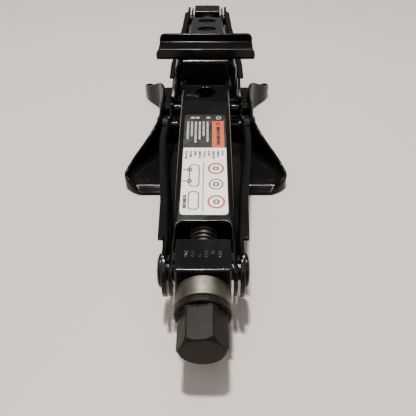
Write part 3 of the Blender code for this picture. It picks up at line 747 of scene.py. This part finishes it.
def side_cut(outline, direction):
    """Step that keeps what lies inside a side outline."""
    flat = [(direction * along, up) for along, up in outline]
    return "INTERSECT", prism(flat, -CUT_REACH, CUT_REACH)


def pin_hole(reach, y, z):
    """Step that drills a pin's hole across."""
    return "DIFFERENCE", moved(rod(-reach, reach, HOLE_RADIUS, "x"), (0.0, y, z))


def arm_holes(direction):
    return [pin_hole(DRILL_REACH, direction * along, 0.0) for along in (0.0, ARM_LENGTH)]


def web_end(inside, corner, start, end, direction):
    """Step that clears the web past start, with rounded inner corners, following the side walls."""
    way = 1.0 if end > start else -1.0
    level = start + way * corner
    outline = arc((inside(level) - corner, level), corner, -90.0 * way, 0.0, 8)
    outline += [(inside(along), along) for along in (0.5 * (start + end), end)]
    outline += [(-x, y) for x, y in reversed(outline)]
    flat = [(x, direction * y) for x, y in outline]
    return "DIFFERENCE", prism(flat, -CUT_REACH, CUT_REACH, axis="z")


def lower_arm(direction, teeth):
    def inside(along):
        return eased(LOWER_HALF_WIDTH, along) - LOWER_SHEET - WEB_CLEAR

    steps = [side_cut(lower_outline(teeth), direction)]
    for start, end in zip(LOWER_WEB_ENDS, (CUT_START, CUT_END)):
        steps.append(web_end(inside, LOWER_WEB_CORNER, start, end, direction))
    lip_ends = (
        (CUT_START, LOWER_LIP_ENDS[0], LOWER_HALF_WIDTH[0][1]),
        (LOWER_LIP_ENDS[1], CUT_END, LOWER_HALF_WIDTH[-1][1]),
    )
    for side in (-1.0, 1.0):
        for low, high, wall in lip_ends:
            left, right = sorted((side * (wall + LOWER_LIP_CLEAR), side * LIP_CUT_WIDTH))
            near, far = sorted((direction * low, direction * high))
            cut = box((left, near, -BLOCK_REACH), (right, far, BLOCK_REACH))
            steps.append(("DIFFERENCE", cut))
    return soften(carved(channel(lower_section, direction), steps + arm_holes(direction)))


def upper_arm(direction, teeth, holes):
    def inside(_):
        return UPPER_HALF_WIDTH - UPPER_SHEET - WEB_CLEAR

    steps = [side_cut(upper_outline(teeth), direction)]
    for start, end in zip(UPPER_WEB_ENDS, (CUT_START, CUT_END)):
        steps.append(web_end(inside, UPPER_WEB_CORNER, start, end, direction))
    for along, half_across, half_along in holes:
        unit = circle((0.0, 0.0), 1.0, 60)
        outline = [(half_across * x, direction * along + half_along * y) for x, y in unit]
        steps.append(("DIFFERENCE", prism(outline, 2.0, BLOCK_REACH, axis="z")))
    return soften(carved(channel(upper_section, direction), steps + arm_holes(direction)))


def arm_places(end):
    """Matrices that put a lower and an upper arm at their pins in the row frame."""
    tilt = Matrix.Rotation(end * FOLD_ANGLE, 4, "X")
    lower = at(end * PIN_HALF_PITCH, FRONT_PIVOT.z) @ tilt
    upper = at(end * HALF_SPAN, SCREW_Z) @ tilt.inverted()
    return lower, upper @ at(-end * ARM_LENGTH, 0.0)


def build_arms(coat):
    sides = (("front", -1.0, FRONT_TEETH, FRONT_UPPER_HOLES), ("rear", 1.0, REAR_TEETH, REAR_UPPER_HOLES))
    for label, end, teeth, holes in sides:
        lower, upper = arm_places(end)
        arm = lower_arm(end, teeth)
        coated(label + "_lower_channel", arm, coat, label + "_lower", "lower_arm_" + label, lower)
        arm = upper_arm(end, teeth, holes)
        coated(label + "_upper_channel", arm, coat, label + "_upper", "upper_arm_" + label, upper)


# ---- base


def base_section(half, wall_top, floor, foot_round):
    """Cross-section of the tray: floor, rounded foot, upright wall and rounded rim."""
    rise = min(1.0, max(0.0, wall_top - floor) / BASE_FULL_WALL)
    inner = half - BASE_SHEET
    rim = 0.5 * BASE_SHEET
    hem = BASE_HEM
    fillet = max(GAP, foot_round * rise)
    under = floor - BASE_SHEET
    right = [(half - BASE_HEM_START, under), (half - BASE_HEM_MIDDLE, 0.45 * under)]
    right += arc((half - hem, hem), hem, -90.0, 0.0, 5)
    right += arc((half - rim, max(wall_top - rim, BASE_RIM_LOWEST)), rim, 0.0, 180.0, 8)
    right += arc((inner - fillet, floor + fillet), fillet, 0.0, -90.0, 6)
    return right + [(-x, z) for x, z in reversed(right)]


def build_base(coat):
    last = BASE_STATIONS[-1][0]
    rings = []
    for y in spread(-last, last, BASE_STEP):
        foot_round = between(BASE_FOOT_ROUND, abs(y))
        rings.append([(x, y, z) for x, z in base_section(*flowing(BASE_STATIONS, abs(y)), foot_round)])
    holes = [pin_hole(BASE_DRILL_REACH, side * PIN_HALF_PITCH, FRONT_PIVOT.z) for side in (-1.0, 1.0)]
    tray = soften(carved(loft(rings), holes), 0.5, 3)
    coated("base_tray", tray, coat, "base", "base_plate")


# ---- pins


def domed_pin(shoulder, height, head_radius):
    """Profile of a pin with a domed, staked head outside each shoulder."""
    dome = []
    for along, radius in arc((0.0, 0.0), 1.0, 0.0, 80.0, 8):
        dome.append((shoulder + height * (0.35 + 0.65 * radius), head_radius * (0.45 + 0.55 * along)))
    head = [(shoulder, PIN_RADIUS), (shoulder, head_radius - 0.3), (shoulder + 0.3, head_radius)] + dome
    top = dome[-1][0]
    dimple = 0.3 * head_radius
    head += [(top, dimple + 0.4), (top - 0.5, dimple), (top - 0.5, 0.0)]
    return [(-along, radius) for along, radius in reversed(head)] + head


def build_pins(coat):
    through_pins = (
        ("base", "base_pin_", BASE_STATIONS[0][1], BASE_PIN_DOME, FRONT_PIVOT.z),
        ("saddle", "saddle_pin_", BRACKET_HALF_WIDTH, SADDLE_PIN_DOME, SADDLE_PLACE.z),
    )
    for label, end in ENDS:
        for body, stem, wall, dome, height in through_pins:
            pin = turned(domed_pin(wall + GAP, *dome), axis="x")
            coated("domed_" + stem + label, pin, coat, body, stem + label, at(end * PIN_HALF_PITCH, height))
        inner = TRUNNION_HALF_WIDTH - PIN_SOCKET_DEPTHS[label] + GAP
        head = domed_pin(PIN_HEAD_START, PIN_HEAD_END - PIN_HEAD_START, PIN_HEAD_RADIUS)
        half = [(inner, 0.0), (inner, PIN_RADIUS)] + [point for point in head if point[0] > 0.0]
        for side, way in (("left", -1.0), ("right", 1.0)):
            pin = turned([(way * along, radius) for along, radius in half], axis="x")
            name = label + "_trunnion_pin_" + side
            coated("domed_" + name, pin, coat, label + "_block", name, at(end * HALF_SPAN, SCREW_Z))


# ---- trunnions and screw


def build_trunnions(coat):
    for label, end in ENDS:
        near, far = sorted((end * TRUNNION_OUTER, -end * TRUNNION_INNER))
        low = (-TRUNNION_HALF_WIDTH, near, -TRUNNION_BOTTOM)
        high = (TRUNNION_HALF_WIDTH, far, TRUNNION_TOPS[label])
        block = soften(box(low, high), 1.1, 4)
        socket = TRUNNION_HALF_WIDTH - PIN_SOCKET_DEPTHS[label]
        steps = [("DIFFERENCE", rod(-BLOCK_REACH, BLOCK_REACH, TRUNNION_BORES[label]))]
        for way in (-1.0, 1.0):
            start, stop = sorted((way * socket, way * CUT_REACH))
            steps.append(("DIFFERENCE", rod(start, stop, HOLE_RADIUS, "x")))
        block = soften(carved(block, steps), 0.15, 2)
        name = label + "_trunnion"
        coated(name + "_block", block, coat, label + "_block", name, at(end * HALF_SPAN, SCREW_Z))


def build_stamp(metal):
    """Two rows of small rings on top of the front block, where a date would be stamped; their lighter coat
    is a painted glint on the stamped marks.
    """
    builder = bmesh.new()
    level = TRUNNION_TOPS["front"] + 0.02
    upright = Matrix.Rotation(math.radians(90.0), 3, "X")
    for row in (-1, 1):
        for column in range(6):
            if (column + row) % 5 == 3:
                continue
            mark = turned(((0.0, 0.55), (0.0, 1.0), (0.06, 0.9), (0.06, 0.65)), 16)
            bmesh.ops.rotate(mark, verts=mark.verts, matrix=upright)
            added(builder, moved(mark, (STAMP_PITCH * (column - 2.5), STAMP_Y + STAMP_ROW * row, level)))
    piece("date_stamp_rings", closed(builder), metal, "front_block", (), TO_TRUNNION)


def build_head(steel):
    """Hex drive head with a cone-chamfered end, on a round flange."""
    corner = 0.5 * HEX_ACROSS_FLATS / math.cos(math.radians(30.0))
    flange_end = HEAD_START + FLANGE_THICKNESS
    hexagon = [polar(corner, HEX_TURN + math.radians(60.0 * index)) for index in range(6)]
    shaft = soften(prism(hexagon, -HEAD_END, 0.5 - flange_end, axis="y"), 0.7, 3, 50.0)
    chamfer = ((0.0, -2.3), (0.5, -1.5), (1.9, -0.2), (2.5, 0.3), (HEAD_END, 0.3))
    profile = [(-HEAD_END, 0.0)]
    profile += [(along - HEAD_END, corner + inset) for along, inset in chamfer]
    cone = turned(profile + [(0.0, 0.0)], FINE_SIDES)
    profile = [(-flange_end, 0.0)]
    rounding = arc((FLANGE_RADIUS - FLANGE_ROUND, FLANGE_ROUND - flange_end), FLANGE_ROUND, -90.0, 0.0, 5)
    profile += [(along, out) for out, along in rounding]
    profile += [(-HEAD_START, FLANGE_RADIUS - 0.5), (-HEAD_START, 0.0)]
    flange = turned(profile, FINE_SIDES)
    bore = rod(-SCREW_NOSE - GAP, 1.0, SCREW_RADIUS - 0.7)
    head = carved(shaft, (("INTERSECT", cone), ("UNION", flange), ("DIFFERENCE", bore)))
    head = soften(head, 0.18, 2)
    piece("hex_head", head, steel, "screw", ("hex_drive_head",), TO_TRUNNION)


def ring_profile(low, high, inner, outer, rounding):
    """Ring with rounded outside edges."""
    quarter = [(1.0 - up, 1.0 - out) for out, up in arc((0.0, 0.0), 1.0, 90.0, 0.0, 5)]
    start = [(low + rounding * along, outer - rounding * drop) for along, drop in quarter]
    finish = [(high - rounding * along, outer - rounding * drop) for along, drop in reversed(quarter)]
    return [(low, inner)] + start + finish + [(high, inner)]


def build_bearing(zinc, steel):
    """Zinc-coloured cup and the two races inside it: (low, high, bore, outer radius)."""
    start = -(TRUNNION_OUTER + GAP)
    housing = turned(ring_profile(-BEARING_END, start, BEARING_BORE, BEARING_RADIUS, 0.9), FINE_SIDES)
    piece("bearing_cup", housing, zinc, "front_block", ("bearing_housing",), TO_TRUNNION)
    races = (
        ("bearing_fixed_race", "front_block", -16.2, start, SCREW_RADIUS + 0.6, 12.2),
        ("bearing_turning_race", "screw", -22.9, -20.6, SCREW_RADIUS + GAP, 12.2),
    )
    for node, body, *sizes in races:
        race = turned(ring_profile(*sizes, 0.4))
        piece("round_" + node, race, steel, body, (node,), TO_TRUNNION)


def build_screw(steel):
    """Threaded lead screw: each ring keeps one phase of the thread and climbs one pitch per turn."""
    per_turn = ((0.0, THREAD_ROOT), (0.28, THREAD_ROOT), (0.46, SCREW_RADIUS), (0.82, SCREW_RADIUS))
    low = -SCREW_SHOULDER
    high = 2.0 * HALF_SPAN + SCREW_TAIL - 0.6
    builder = bmesh.new()
    rows = []
    for turn in range(-1, int((high - low) / THREAD_PITCH) + 2):
        for phase, radius in per_turn:
            row = []
            for index in range(THREAD_SIDES):
                along = low + THREAD_PITCH * (turn + phase + index / THREAD_SIDES)
                held = min(max(along, low), high)
                size = radius if held == along else THREAD_ROOT
                across, up = polar(size, 2.0 * math.pi * index / THREAD_SIDES)
                row.append(builder.verts.new((across, held, up)))
            rows.append(row)
    # The last side of a turn meets the first side of the next one.
    rows = [row + [after[0]] for row, after in zip(rows, rows[len(per_turn):])]
    for near, far in zip(rows, rows[1:]):
        for index in range(THREAD_SIDES):
            builder.faces.new((near[index], near[index + 1], far[index + 1], far[index]))
    bmesh.ops.remove_doubles(builder, verts=builder.verts, dist=0.001)
    bmesh.ops.dissolve_degenerate(builder, edges=builder.edges, dist=0.001)
    bmesh.ops.holes_fill(builder, edges=[edge for edge in builder.edges if len(edge.link_faces) == 1])
    loose = [vertex for vertex in builder.verts if not vertex.link_faces]
    bmesh.ops.delete(builder, geom=loose, context="VERTS")
    added(builder, rod(-SCREW_NOSE, low + 0.5, SCREW_RADIUS - 1.1))
    screw = closed(builder)
    piece("threaded_screw", screw, steel, "screw", ("lead_screw",), TO_TRUNNION, 30.0)


# ---- saddle


def build_rest(coat):
    """Grooved channel across the top of the saddle, its corners rounded in the front view."""
    half = REST_HALF_WIDTH - 0.5 * REST_SHEET
    floor = BRACKET_TOP + GAP + 0.5 * REST_SHEET
    bend = arc((half - REST_BEND, floor + REST_BEND), REST_BEND, 0.0, -90.0, 8)
    section = thicken(mirrored_path([(half, REST_TOP)] + bend), REST_SHEET)
    rest = prism(section, -REST_HALF_LENGTH, REST_HALF_LENGTH)
    bottom = BRACKET_TOP + GAP - 2.0
    outline = rounded_patch(-REST_HALF_LENGTH, REST_HALF_LENGTH, bottom, REST_TOP, REST_CORNER, 8)
    rest = carved(rest, [("INTERSECT", prism(outline, -SADDLE_REACH, SADDLE_REACH, axis="y"))])
    coated("grooved_rest", soften(rest, 0.4, 3), coat, "saddle", "saddle_rest")


def build_bracket(coat):
    """Sheet folded down over the arms' ends, with two lugs a side for the pins."""
    half = BRACKET_HALF_WIDTH - 0.5 * BRACKET_SHEET
    top = BRACKET_TOP - 0.5 * BRACKET_SHEET
    pin_z = SADDLE_PLACE.z
    bend = arc((half - BRACKET_BEND, top - BRACKET_BEND), BRACKET_BEND, 0.0, 90.0, 8)
    section = thicken(mirrored_path([(half, pin_z - 10.0)] + bend), BRACKET_SHEET)
    folded = prism(section, -BRACKET_HALF_LENGTH, BRACKET_HALF_LENGTH, axis="y")
    lugs = arc((-PIN_HALF_PITCH, pin_z), BRACKET_LUG_RADIUS, 165.0, 270.0, 24)
    lugs += arc((PIN_HALF_PITCH, pin_z), BRACKET_LUG_RADIUS, 270.0, 375.0, 24)
    low, high, edge = BRACKET_NOTCH_BOTTOM, SADDLE_ROOF, 24.0
    lugs += [(edge, low), (edge, high), (-edge, high), (-edge, low)]
    steps = [("INTERSECT", prism(lugs, -SADDLE_REACH, SADDLE_REACH))]
    for _, end in ENDS:
        near, far = sorted((end * (TAB_OUTER - TAB_SHEET - GAP), end * SADDLE_REACH))
        notch = box((-BRACKET_NOTCH_HALF_WIDTH, near, low), (BRACKET_NOTCH_HALF_WIDTH, far, high))
        steps.append(("DIFFERENCE", notch))
        steps.append(pin_hole(SADDLE_REACH, end * PIN_HALF_PITCH, pin_z))
    coated("folded_bracket", soften(carved(folded, steps)), coat, "saddle", "saddle_bracket")


def build_tabs(coat):
    """Plates that close the bracket's ends: rounded over at the top, stepped in between the arms."""
    inner = TAB_OUTER - TAB_SHEET
    side = [(inner, TAB_BOTTOM), (TAB_OUTER, TAB_BOTTOM)]
    side += arc((TAB_OUTER - TAB_BEND, TAB_TOP - TAB_BEND), TAB_BEND, 0.0, 90.0, 8)
    side.append((inner, TAB_TOP))
    for label, end in ENDS:
        plate = prism([(end * y, z) for y, z in side], -TAB_HALF_WIDTH, TAB_HALF_WIDTH)
        steps = []
        for way in (-1.0, 1.0):
            low, high = sorted((way * TAB_STEP_HALF_WIDTH, way * SADDLE_REACH))
            steps.append(("DIFFERENCE", box((low, -SADDLE_REACH, 40.0), (high, SADDLE_REACH, TAB_STEP))))
        coated("folded_tab_" + label, soften(carved(plate, steps)), coat, "saddle", "saddle_tab_" + label)


# ---- label


def panel(builder, outline, level, slot_index, place):
    """A flat printed patch on the web; points are (across, along) and level is its height above the web."""
    corners = []
    for across, along in outline:
        up = eased(UPPER_TOP, along, UPPER_TOP_EASE) + level
        corners.append(builder.verts.new(place @ Vector((across, -along, up))))
    face = builder.faces.new(corners)
    face.normal_update()
    if face.normal.z < 0.0:
        face.normal_flip()
    face.material_index = slot_index


def oblong(left, right, low, high):
    return ((left, low), (right, low), (right, high), (left, high))


def strip(left, right, low, high, pieces):
    """Outline of a long patch, cut into short lengths so that it follows the web."""
    stations = spread(low, high, (high - low) / pieces)
    return [oblong(left, right, start, end) for start, end in zip(stations, stations[1:])]


def band(outer, inner):
    """The band between two outlines with as many points each, as four-sided patches."""
    quads = []
    for index in range(len(outer)):
        after = (index + 1) % len(outer)
        quads.append((outer[index], outer[after], inner[after], inner[index]))
    return quads


def ring_band(centre, outer, inner, steps=36):
    return band(circle(centre, outer, steps), circle(centre, inner, steps))


def inked(patches, ink):
    return [(patch, ink) for patch in patches]


def dashes(left, width, low, high, seed, gap=0.55):
    """A column of short printed dashes of uneven length, in place of a line of words."""
    patches = []
    start = low
    number = seed
    while start < high - 0.6:
        length = 1.6 + 1.3 * ((3 * number + number * number) % 4)
        end = min(start + length, high)
        patches.append(oblong(left, left + width, start, end))
        start = end + gap
        number += 1
    return patches


# Places of the inks in the label's list of materials.
BLACK_INK, WHITE_INK, ORANGE_INK, RED_INK, GREY_INK, PALE_INK = range(6)


def head_marks():
    """Marks on the dark half: a ring and dashes on the orange block, pale dashes beside it."""
    marks = inked(dashes(7.5, 2.2, 63.0, 81.0, 3, 0.5), BLACK_INK)
    marks += inked(ring_band((8.5, 60.0), 1.5, 0.7, 12), BLACK_INK)
    for row in range(6):
        end = 78.5 - 3.1 * ((row + 1) % 3)
        marks += inked(dashes(-11.7 + 2.55 * row, 1.25, 57.6, end, row), PALE_INK)
    marks += inked(ring_band((9.0, 53.6), 1.7, 1.1, 16), PALE_INK)
    patches = [oblong(left, left + 2.6, 52.6, 54.2) for left in (-9.5, -6.2, 0.8)]
    return marks + inked(patches, PALE_INK)


def field_marks():
    """Marks on the white half: rows of dashes, a ruled line, rings on one side and frames on the other."""
    marks = []
    for row in range(9):
        marks += inked(dashes(-12.1 + 2.8 * row, 1.5, 86.6, 93.6 - 1.3 * (row % 3), row), GREY_INK)
    marks += inked(strip(-0.9, -0.4, 96.5, 135.5, 4), BLACK_INK)
    rings = ((102.0, 4.9, 1.15, RED_INK), (115.0, 4.3, 0.8, BLACK_INK), (128.6, 5.0, 1.15, RED_INK))
    for along, radius, width, ink in rings:
        marks += inked(ring_band((6.8, along), radius, radius - width), ink)
        marks += inked(ring_band((6.8, along), 1.9, 0.9, 18), BLACK_INK)
    for low, high in ((98.5, 117.0), (120.5, 134.5)):
        outer = rounded_patch(-9.2, -2.8, low, high, 2.4)
        inner = rounded_patch(-8.5, -3.5, low + 0.7, high - 0.7, 1.9)
        marks += inked(band(outer, inner), BLACK_INK)
    for along in (103.0, 112.5):
        marks += inked(ring_band((-8.8, along), 1.7, 0.8, 16), BLACK_INK)
        marks.append((oblong(-13.0, -10.7, along - 0.4, along + 0.4), BLACK_INK))
    return marks + inked(dashes(-12.0, 2.0, 123.5, 133.5, 1, 0.4), BLACK_INK)


def build_label():
    """Label on the front upper arm: dark half with an orange block, white half with plain shapes."""
    place = arm_places(-1.0)[1]
    builder = bmesh.new()
    half = LABEL_HALF_WIDTH
    film_outline = rounded_patch(-half, half, LABEL_START, LABEL_END + 0.3, 2.0)
    panel(builder, film_outline, LABEL_LEVEL, BLACK_INK, place)
    edge = half - 0.3
    corners = arc((edge - LABEL_CORNER, LABEL_END - LABEL_CORNER), LABEL_CORNER, 0.0, 90.0, 6)
    outline = mirrored_path([(edge, LABEL_SPLIT)] + corners)
    panel(builder, outline, LABEL_LEVEL + PRINT_STEP, WHITE_INK, place)
    for patch in strip(4.6, 12.3, 57.0, LABEL_SPLIT - 0.4, 3):
        panel(builder, patch, LABEL_LEVEL + PRINT_STEP, ORANGE_INK, place)
    for outline, ink in head_marks() + field_marks():
        panel(builder, outline, LABEL_LEVEL + 2.0 * PRINT_STEP, ink, place)
    looks = (
        film("black_ink", (0.0075, 0.007, 0.0065), (0.0105, 0.0098, 0.009), 0.3),
        film("white_ink", (0.97, 0.885, 0.80), (0.92, 0.835, 0.75)),
        film("orange_ink", (0.56, 0.068, 0.0), (0.51, 0.062, 0.0)),
        film("red_ink", (0.42, 0.008, 0.004), (0.36, 0.007, 0.004)),
        film("grey_ink", (0.12, 0.115, 0.11), (0.09, 0.085, 0.08)),
        film("pale_ink", (0.46, 0.44, 0.42), (0.38, 0.36, 0.34)),
    )
    made = piece("printed_label", builder, looks[0], "front_upper", ("label_plate",))
    for look in looks[1:]:
        made.data.materials.append(look)


# ---- studio


# Focal length as a share of the sensor's width, and the camera's place in millimetres.
FOCAL_SHARE = 1.0579
CAMERA_PLACE = (3.6, -325.7, 209.8)
CAMERA_PITCH = math.radians(42.29)
CAMERA_YAW = math.radians(0.447)
CAMERA_ROLL = math.radians(-0.303)


def build_camera():
    data = bpy.data.cameras.new("camera")
    data.sensor_width = 36.0
    data.lens = FOCAL_SHARE * data.sensor_width
    data.clip_start = 0.01
    data.clip_end = 20.0
    made = shown("camera", data)
    level = Vector((-math.sin(CAMERA_YAW), math.cos(CAMERA_YAW), 0.0))
    across = Vector((math.cos(CAMERA_YAW), math.sin(CAMERA_YAW), 0.0))
    forward = math.cos(CAMERA_PITCH) * level - math.sin(CAMERA_PITCH) * Vector((0.0, 0.0, 1.0))
    up = across.cross(forward)
    right = math.cos(CAMERA_ROLL) * across + math.sin(CAMERA_ROLL) * up
    rolled_up = math.cos(CAMERA_ROLL) * up - math.sin(CAMERA_ROLL) * across
    matrix = Matrix((right, rolled_up, -forward)).transposed().to_4x4()
    matrix.translation = Vector(CAMERA_PLACE) * MM
    made.matrix_world = matrix
    bpy.context.scene.camera = made


def build_floor(reach=4.0):
    mesh = bpy.data.meshes.new("floor")
    corners = [(x, y, 0.0) for x, y in oblong(-reach, reach, -reach, reach)]
    mesh.from_pydata(corners, [], [tuple(range(len(corners)))])
    mesh.materials.append(matt_surface("floor_paint", (0.67, 0.597, 0.542), (0.64, 0.57, 0.515), 3.0))
    shown("floor", mesh)


def area_light(name, place, size, power, colour):
    """A rectangular lamp aimed at the middle of the base; place and size in metres."""
    data = bpy.data.lights.new(name, "AREA")
    data.shape = "RECTANGLE"
    data.size, data.size_y = size
    data.energy = power
    data.color = colour
    made = shown(name, data)
    made.location = place
    made.rotation_euler = (-Vector(place)).to_track_quat("-Z", "Y").to_euler()
    return made


def build_lights():
    area_light("key_lamp", (-0.06, -0.1, 1.5), (0.11, 0.07), 34.0, (1.0, 0.965, 0.925))
    highlights = area_light("edge_strip", (0.0, 0.45, 1.45), (0.7, 0.03), 45.0, (1.0, 0.97, 0.93))
    highlights.visible_diffuse = False
    area_light("front_fill", (-0.3, -1.0, 1.6), (1.6, 1.2), 9.0, (1.0, 0.98, 0.96))
    world = bpy.data.worlds.new("room")
    world.use_nodes = True
    sky = world.node_tree.nodes["Background"]
    sky.inputs["Color"].default_value = (1.0, 0.97, 0.94, 1.0)
    sky.inputs["Strength"].default_value = 0.22
    bpy.context.scene.world = world


def dress_cad_nodes(coat, brass, steel):
    """Gives every CAD node that is still shown a finished material."""
    for name, node in frame["nodes"].items():
        if node.hide_render:
            continue
        look = steel
        if name == "bearing_ball_cage":
            look = brass
        elif "spacer" in name or "washer_" in name:
            look = coat
        node.data.materials.clear()
        node.data.materials.append(look)


def main():
    coat = black_coat("black_dip_coat")
    dark = dark_steel("phosphated_steel")
    zinc = turned_steel("zinc_plate", (0.085, 0.077, 0.067), (0.125, 0.114, 0.099), 0.44)
    steel = turned_steel("oiled_steel", (0.038, 0.035, 0.032), (0.085, 0.078, 0.07), 0.4)
    brass = turned_steel("brass", (0.50, 0.36, 0.16), (0.62, 0.46, 0.22), 0.36)
    build_base(black_coat("base_dip_coat", gloss=0.1))
    build_arms(coat)
    build_pins(coat)
    build_trunnions(coat)
    # The stamp rings get a lighter black coat that paints the glint of the stamped marks.
    build_stamp(black_coat("stamp_painted_glint", (0.011, 0.0105, 0.01), gloss=0.1))
    build_head(dark)
    build_bearing(zinc, steel)
    build_screw(steel)
    build_rest(coat)
    build_bracket(coat)
    build_tabs(coat)
    build_label()
    dress_cad_nodes(coat, brass, steel)
    build_camera()
    build_floor()
    build_lights()


main()
